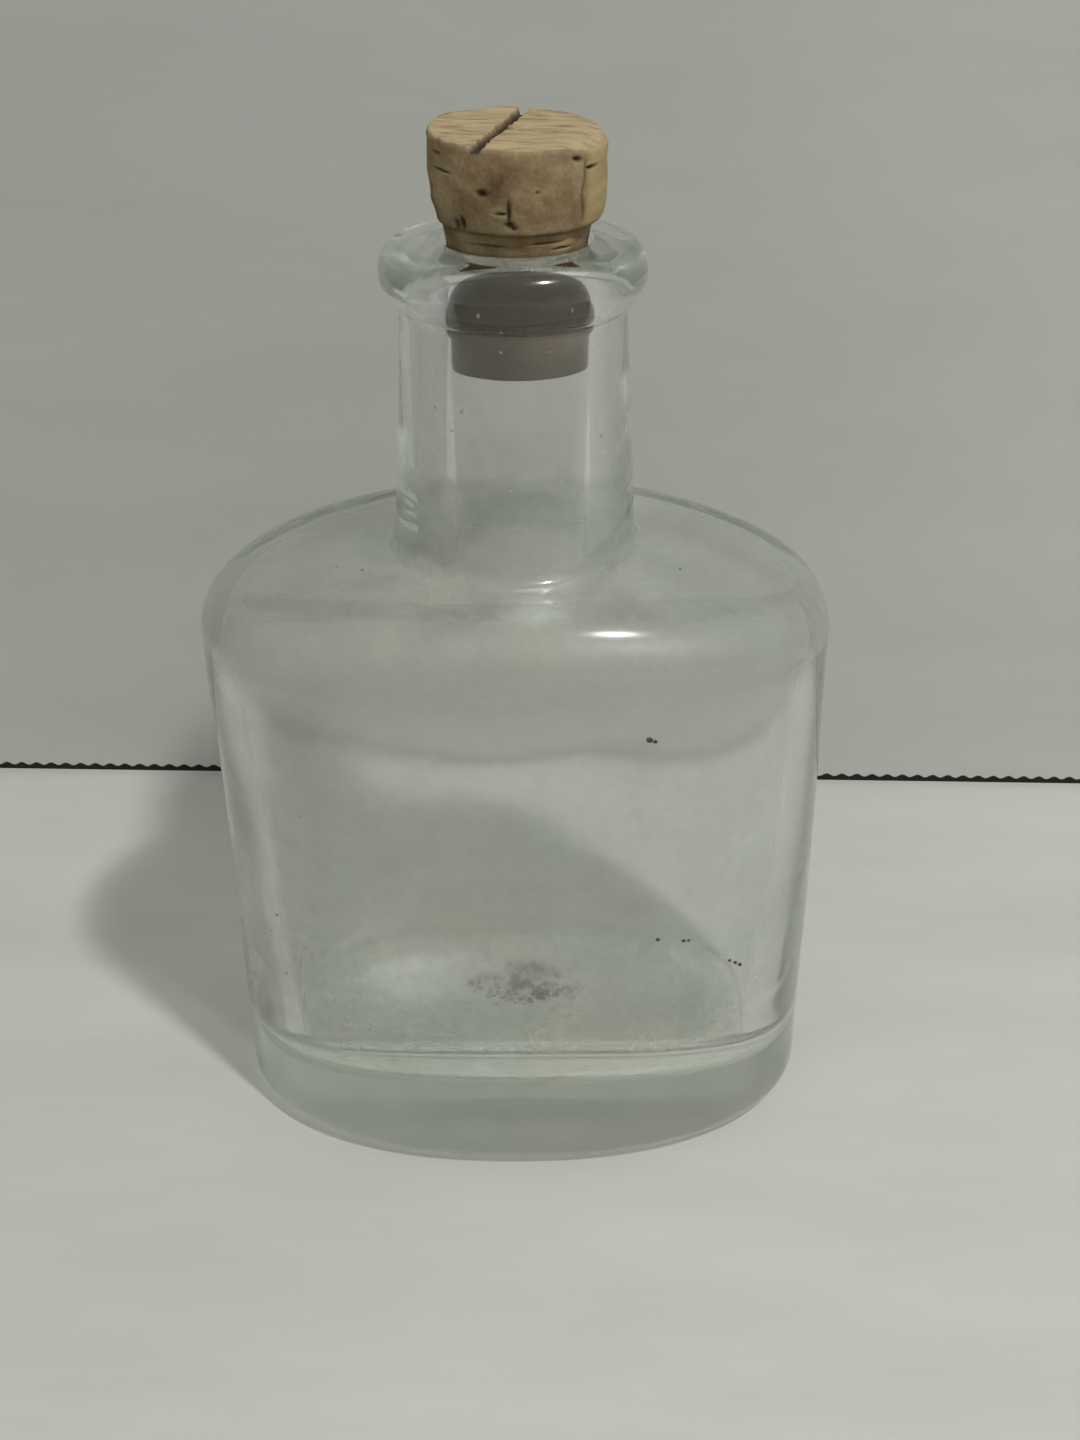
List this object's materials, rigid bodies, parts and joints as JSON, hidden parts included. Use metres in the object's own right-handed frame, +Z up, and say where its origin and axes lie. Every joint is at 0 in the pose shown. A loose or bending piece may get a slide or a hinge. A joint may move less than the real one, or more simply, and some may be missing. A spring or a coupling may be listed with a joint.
{
  "type": "apothecary bottle",
  "caption": "Small clear glass flask of oval section with a bead lip and heavy foot, closed by a natural cork that pulls out of the neck.",
  "frame": {"origin": "middle of the foot, on the plane that the bottle stands on", "axes": "+Z up along the neck's axis, +X along the broad face's width, -Y out of the front face"},
  "size_m": [0.0592, 0.037, 0.0985],
  "materials": {
    "clear_glass": "old clear bottle glass with a slight grey-green cast, smooth, with small seeds and dirt inside",
    "natural_cork": "raw brown cork with pores and a knife-cut top, matt"
  },
  "bodies": {
    "bottle": {"glass_bottle": "clear_glass"},
    "cork": {"cork_stopper": "natural_cork"}
  },
  "joints": [
    {"name": "cork_pull", "type": "slide", "parent": "bottle", "child": "cork", "axis": [0, 0, 1], "range_m": [0, 0.025]}
  ]
}
